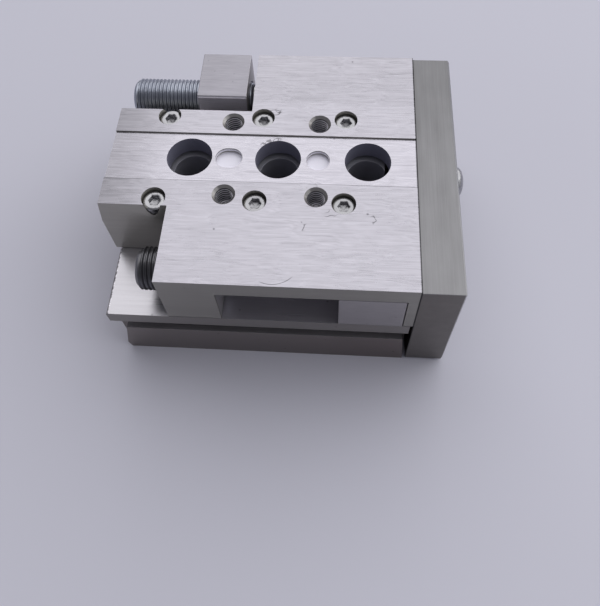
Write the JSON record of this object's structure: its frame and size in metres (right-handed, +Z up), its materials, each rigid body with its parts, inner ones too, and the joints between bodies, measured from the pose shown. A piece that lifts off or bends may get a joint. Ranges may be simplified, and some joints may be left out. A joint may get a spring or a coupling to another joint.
{
  "type": "pneumatic mini slide",
  "caption": "Compact pneumatic slide: flat table on a ball guide over a twin piston housing, joined by an end yoke, with screw stops for both ends of the stroke.",
  "frame": {"origin": "middle of the housing's base face", "axes": "+X along the stroke, from the rear plugs towards the yoke; +Z up from the base to the table; +Y towards the side that carries the rear stop block"},
  "size_m": [0.0846, 0.066, 0.04],
  "materials": {
    "housing_aluminium": "satin anodised extrusion, darker lower slab",
    "table_aluminium": "ground and fine brushed along the stroke",
    "yoke_aluminium": "grey anodised, brushed across",
    "block_aluminium": "ground aluminium",
    "piston_aluminium": "turned",
    "rail_steel": "hardened and ground",
    "screw_steel": "bright stainless",
    "clip_steel": "phosphated spring steel",
    "ball_steel": "polished bearing steel",
    "rod_chrome": "hard chromed",
    "plated_steel": "zinc plated",
    "black_steel": "black oxide",
    "tip_steel": "hardened, polished face",
    "bush_bronze": "sintered bronze",
    "seal_rubber": "nitrile",
    "cage_plastic": "moulded",
    "magnet_ferrite": "pressed ferrite"
  },
  "bodies": {
    "base": {"housing": "housing_aluminium", "centre_rail": "rail_steel", "centre_rail_screws": "screw_steel", "front_stop_block": "block_aluminium", "rear_stop_block": "block_aluminium", "front_block_screws": "screw_steel", "rear_block_screws": "screw_steel", "rear_plugs": "housing_aluminium", "plug_seals": "seal_rubber", "plug_clips": "clip_steel", "rod_bushes": "bush_bronze", "rod_seals": "seal_rubber"},
    "table": {"slide": "table_aluminium", "slide_rail_front": "rail_steel", "slide_rail_rear": "rail_steel", "slide_rail_screws": "screw_steel", "yoke_plate": "yoke_aluminium", "yoke_centre_screw": "screw_steel", "yoke_side_screws": "screw_steel", "yoke_dowels": "rail_steel", "rod_screws": "screw_steel", "piston_rods": "rod_chrome", "pistons": "piston_aluminium", "piston_seals": "seal_rubber", "piston_magnets": "magnet_ferrite"},
    "cage_front": {"ball_cage_front": "cage_plastic", "balls_front": "ball_steel"},
    "cage_rear": {"ball_cage_rear": "cage_plastic", "balls_rear": "ball_steel"},
    "rear_stop_screw": {"rear_adjuster": "plated_steel", "rear_adjuster_tip": "tip_steel"},
    "front_stop_screw": {"front_adjuster": "black_steel", "front_adjuster_tip": "tip_steel"}
  },
  "joints": [
    {"name": "stroke", "type": "slide", "parent": "base", "child": "table", "axis": [1, 0, 0], "range_m": [0, 0.02645]},
    {"name": "cage_front_roll", "type": "slide", "parent": "base", "child": "cage_front", "axis": [1, 0, 0], "range_m": [0, 0.01325]},
    {"name": "cage_rear_roll", "type": "slide", "parent": "base", "child": "cage_rear", "axis": [1, 0, 0], "range_m": [0, 0.01325]},
    {"name": "rear_stop_adjust", "type": "slide", "parent": "base", "child": "rear_stop_screw", "axis": [-1, 0, 0], "range_m": [0, 0.006]},
    {"name": "front_stop_adjust", "type": "slide", "parent": "table", "child": "front_stop_screw", "axis": [-1, 0, 0], "range_m": [0, 0.004]}
  ],
  "couplings": [
    {"joint": "cage_front_roll", "follows": "stroke", "ratio": 0.5},
    {"joint": "cage_rear_roll", "follows": "stroke", "ratio": 0.5}
  ]
}
